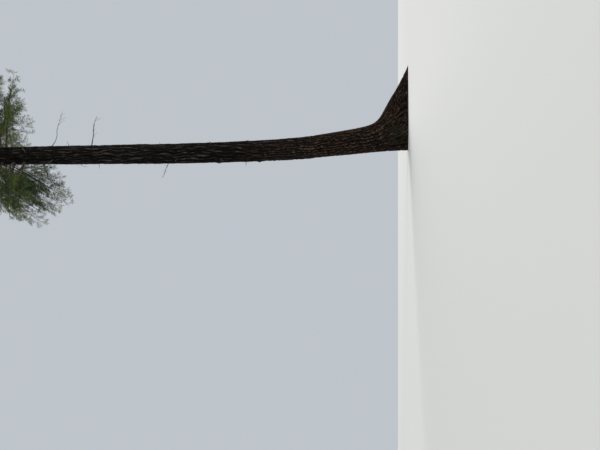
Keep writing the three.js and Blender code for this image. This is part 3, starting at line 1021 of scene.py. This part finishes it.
def grow_leader(rng):
    """Short rising shoots round the tip."""
    paths, rows = [], []
    for n in range(26):
        t = (n + 0.5) / 26
        z = LEADER_LOW - 0.05 + (HEIGHT - 0.25 - LEADER_LOW) * t
        a = math.radians(137.5 * n + 30)
        c = (z - (LEADER_LOW + LEADER_HIGH) / 2) / ((LEADER_HIGH - LEADER_LOW) / 2)
        reach = LEADER_RADIUS * (1 - 0.62 * c) * spread(n, 701, 0.8, 1.02)
        x, y = float(station(z, 1)), float(station(z, 2))
        s = np.linspace(0, 1, 5)
        r = reach * s
        rise = r * spread(n, 702, 0.55, 0.95)
        p = np.stack([x + r * math.cos(a), y + r * math.sin(a), z + rise], 1)
        p[:, 2] = np.minimum(p[:, 2], HEIGHT - 0.03)
        paths.append(p)
        rows.append(np.linalg.norm(p[-1] - p[0]))
    paths, length = np.array(paths), np.array(rows)
    n = len(paths)
    thick = 0.004 + 0.005 * length
    s = np.linspace(0, 1, 5)
    return dict(
        j=np.full(n, MASS_COUNT - 1),
        up=np.full(n, 1.0),
        t=np.full(n, 0.8),
        length=length,
        thick=thick,
        paths=paths,
        radii=thick[:, None] * (1 - 0.72 * s[None]),
        free=np.full(n, True),
    )


# The greens, from the deep inner sprays, darkened as painted shade, to the lit tips, lightened as painted light.
GREENS = {
    "deep": (0.03, 0.058, 0.016),
    "mid": (0.06, 0.1, 0.023),
    "olive": (0.11, 0.136, 0.031),
    "tip": (0.178, 0.215, 0.05),
}


def build_crown():
    rng = np.random.default_rng(SEED)
    bough_bark = build_boughs()
    sides = grow_sides(rng)
    leader = grow_leader(rng)
    twigs = grow_twigs(rng, sides)
    leader_twigs = grow_twigs(rng, leader)

    # Side branches, pointed tubes of three sides, with fewer bends in the short ones.
    parts = []
    for g in (sides, leader):
        for pick, bends in ((g["length"] > 0.42, slice(None)), (g["length"] <= 0.42, slice(None, None, 2))):
            parts.append(tubes(g["paths"][pick][:, bends], g["radii"][pick][:, bends], 3, pointed=True))
    verts, tris = join(parts)
    branch_bark = limb_material("side_branch_bark", (0.026, 0.019, 0.013), (0.07, 0.053, 0.038), (0.09, 0.096, 0.064), 60)
    foliage = [f"foliage_{k + 1:02d}" for k in range(MASS_COUNT)] + ["foliage_leader"]
    piece = make_piece("side_branches", verts, tris, branch_bark)
    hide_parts(*foliage)

    # Twigs, slim spikes.
    parts = []
    for g in (twigs, leader_twigs):
        tip = g["base"] + g["way"] * g["length"][:, None]
        paths = np.stack([g["base"] - g["way"] * 0.004, tip], 1)
        radii = np.stack([g["thick"], g["thick"] * 0.3], 1)
        parts.append(tubes(paths, radii, 3, pointed=True))
    verts, tris = join(parts)
    twig_bark = plain_material("twig_bark", (0.06, 0.052, 0.026), 0.8, 0.25, 90)
    piece = make_piece("twigs", verts, tris, twig_bark)
    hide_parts(*foliage)

    # Needles, dealt out by spray into the greens. They stand closer low in the crown.
    total = 0.0
    for g, source in ((twigs, sides), (leader_twigs, leader)):
        total += (0.9 * g["length"] / needle_gap(source["up"][g["owner"]])).sum()
        total += (0.62 * source["length"] / needle_gap(source["up"])).sum()
    step = total / NEEDLE_COUNT
    sets = []
    for g, source in ((twigs, sides), (leader_twigs, leader)):
        gap = step * needle_gap(source["up"][g["owner"]])
        p, way, owner, order, s = needles_on(rng, g["base"], g["way"], g["length"], gap)
        spray = g["owner"][owner]
        sets.append((p, way, order, s, source["j"][spray], source["up"][spray], source["t"][spray], spray, owner, source is leader))
        # Along the outer part of the side branches, one span at a time.
        for i in range(1, 4):
            a, b = source["paths"][:, i], source["paths"][:, i + 1]
            length = np.linalg.norm(b - a, axis=1)
            gap = step * needle_gap(source["up"]) * (1.5 if i < 2 else 1.1)
            q, qway, qowner, qorder, qs = needles_on(rng, a, unit(b - a), length, gap, 0.0)
            qs = qs * 0.5 if i < 3 else qs
            sets.append((q, qway, qorder, qs, source["j"][qowner], source["up"][qowner], source["t"][qowner], qowner, qowner, source is leader))
    low, high = np.array(cad_box[0]) - 0.06, np.array(cad_box[1]) + 0.06
    all_blades, all_scores = [], []
    for p, way, order, s, j, up, t, spray, twig, is_leader in sets:
        size = 1.08 + 0.22 * up
        blades = needle_blades(rng, p, way, order, s, size)
        # Which green: by the spray's place in its mass and by chance. Sprays deep inside a mass get darker greens as
        # painted shade, and sprays on its surface get lighter ones as painted light. Sprays far out along their bough
        # are lighter, partly as paler young growth and partly as painted light, and sprays higher in the crown are a
        # little lighter.
        luck = dice(spray, j, np.zeros_like(j), 801 + int(is_leader))
        own = dice(twig, j, np.zeros_like(j), 803)
        depth = np.full(len(p), 0.8) if is_leader else depth_in_mass(j, p)
        score = 0.55 * depth + 0.3 * t + 0.7 * (luck - 0.5) + 0.1 * up
        # A spray keeps one green, and only its twigs' tips may be lighter.
        mean = np.bincount(spray, score) / np.maximum(np.bincount(spray), 1)
        score = mean[spray] + 0.16 * (own - 0.5) + 0.07 * (s - 0.5)
        good = ((blades.min(1) > low) & (blades.max(1) < high)).all(1)
        all_blades.append(blades[good])
        all_scores.append(score[good])
    all_blades, all_scores = np.concatenate(all_blades), np.concatenate(all_scores)
    kind = np.digitize(all_scores, np.quantile(all_scores, [0.28, 0.6, 0.84]))
    made = 0
    for name, colour in GREENS.items():
        blades = all_blades[kind == list(GREENS).index(name)]
        material = plain_material(f"needles_{name}", colour, 0.6, 0.2, 70)
        most = PIECE_TRIANGLES // 2
        pieces = max(1, math.ceil(len(blades) / most))
        for k in range(pieces):
            part = blades[k::pieces]
            made += len(part)
            tris = np.array([[0, 1, 2], [0, 2, 3]])[None] + (np.arange(len(part)) * 4)[:, None, None]
            label = f"needles_{name}" + (f"_{k + 1}" if pieces > 1 else "")
            piece = make_piece(label, part.reshape(-1, 3), tris.reshape(-1, 3), material, False)
            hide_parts(*foliage)
    print("side branches", len(sides["j"]), "twigs", len(twigs["owner"]), "needles", made)


build_crown()


# ------------------------------------------------------------------- dead wood
def build_dead_wood():
    rng = np.random.default_rng(SEED + 5)
    parts = []

    def limb(path, radius, sides=6):
        parts.append(tubes(path[None], radius[None], sides, pointed=True))

    for name, height, degrees, length, rise, sag, thick in DEAD_LIMBS:
        a = math.radians(degrees)
        r0 = float(station(height, 3))
        t = np.linspace(0, 1, 15)
        r = r0 * 0.5 + (r0 * 0.5 + length) * t
        bend = 0.05 * length * np.sin(5 * t)
        p = np.stack(
            [
                float(station(height, 1)) + r * math.cos(a) - bend * math.sin(a),
                float(station(height, 2)) + r * math.sin(a) + bend * math.cos(a),
                height + rise * t - sag * t**2,
            ],
            1,
        )
        p[5:] += rng.normal(0, 0.006, (10, 3))
        limb(p, thick * (1 - 0.7 * t) * rng.uniform(0.88, 1.12, 15), 7)
        for i in range(5, 14):
            if rng.random() < 0.75:
                out = unit(p[i] - p[i - 1] + rng.normal(0, 0.04, 3) + np.array([0, 0, -0.03]))
                size = rng.uniform(0.05, 0.22) * (0.5 + length)
                q = p[i] + out * (np.linspace(0, 1, 4) * size)[:, None] + rng.normal(0, 0.006, (4, 3)) * np.linspace(0, 1, 4)[:, None]
                limb(q, 0.0042 * np.array([1, 0.8, 0.55, 0.3]), 4)

    def from_trunk(z, degrees, length, rise, sag, thick, twigs):
        a = math.radians(degrees)
        r0 = float(station(z, 3))
        k = 9
        t = np.linspace(0, 1, k)
        r = r0 * 0.7 + (r0 * 0.3 + length) * t
        bend = length * 0.06 * np.sin(6 * t + 7 * rng.random())
        p = np.stack(
            [
                float(station(z, 1)) + r * math.cos(a) - bend * math.sin(a),
                float(station(z, 2)) + r * math.sin(a) + bend * math.cos(a),
                z + rise * t - sag * t**2,
            ],
            1,
        )
        p[2:] += rng.normal(0, 0.012 * min(1, length), (k - 2, 3))
        radius = thick * (1 - 0.72 * t)
        radius[0:2] *= 1.35
        limb(p, radius, 6)
        for _ in range(twigs):
            i = rng.integers(3, k - 1)
            side = rng.normal(0, 1, 3) * np.array([1, 1, 0.5])
            out = unit(unit(p[i] - p[i - 1]) * 0.8 + side * 0.55)
            size = rng.uniform(0.1, 0.38)
            q = p[i] + out * (np.linspace(0, 1, 5) * size)[:, None] - Z * (np.linspace(0, 1, 5) ** 2 * size * 0.25)[:, None]
            q[1:] += rng.normal(0, 0.008, (4, 3))
            limb(q, 0.005 * np.array([1, 0.85, 0.7, 0.5, 0.3]), 4)

    for n in range(16):  # stubs
        z = 3.4 + 9.3 * (n + rng.random()) / 16
        from_trunk(z, 137.5 * n + 40, rng.uniform(0.04, 0.2), rng.uniform(-0.03, 0.05), 0.0, rng.uniform(0.008, 0.015), 0)
    for n in range(30):  # thin dead branches under and inside the crown
        z = 9.8 + 8.2 * (n + rng.random()) / 30
        from_trunk(z, 137.5 * n + 100, rng.uniform(0.45, 1.5), rng.uniform(-0.1, 0.12), rng.uniform(0.05, 0.3), rng.uniform(0.009, 0.016), int(rng.integers(3, 9)))
    verts, tris = join(parts)
    material = limb_material("dead_wood", (0.024, 0.02, 0.0165), (0.088, 0.078, 0.066), (0.125, 0.128, 0.1), 48)
    piece = make_piece("dead_wood", verts, tris, material)
    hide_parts(*[row[0] for row in DEAD_LIMBS])


build_dead_wood()


# ----------------------------------------------------------- floor and lights
def build_stage():
    mesh = bpy.data.meshes.new("floor")
    turns = [2 * math.pi * i / 180 for i in range(180)]
    mesh.from_pydata([(420 * math.cos(t), 420 * math.sin(t), -0.001) for t in turns], [], [tuple(range(180))])
    floor = bpy.data.objects.new("floor", mesh)
    material, _, _ = node_material("pale_floor", (0.62, 0.62, 0.6), 0.9, 0.1)
    mesh.materials.append(material)
    bpy.context.scene.collection.objects.link(floor)
    world = bpy.data.worlds.new("pale_room")
    world.use_nodes = True
    world.node_tree.nodes["Background"].inputs["Color"].default_value = (0.72, 0.77, 0.83, 1)
    world.node_tree.nodes["Background"].inputs["Strength"].default_value = 0.72
    bpy.context.scene.world = world
    for name, direction, power, angle, colour in (
        ("back_light", (0.3, 0.85, 0.6), 2.6, 20, (1.0, 0.97, 0.91)),
        ("front_light", (0.75, -0.6, 0.5), 0.95, 30, (1.0, 0.96, 0.9)),
    ):
        lamp = bpy.data.lights.new(name, "SUN")
        lamp.energy = power
        lamp.angle = math.radians(angle)
        lamp.color = colour
        place = bpy.data.objects.new(name, lamp)
        d = np.array(direction)
        d = d / np.linalg.norm(d)
        x = unit(np.cross(Z, d))
        y = np.cross(d, x)
        place.matrix_world = Matrix(((x[0], y[0], d[0], 0), (x[1], y[1], d[1], 0), (x[2], y[2], d[2], 60), (0, 0, 0, 1)))
        bpy.context.scene.collection.objects.link(place)


build_stage()
bpy.context.scene.view_settings.view_transform = "Standard"
bpy.context.scene.view_settings.look = "None"

bpy.context.view_layer.update()
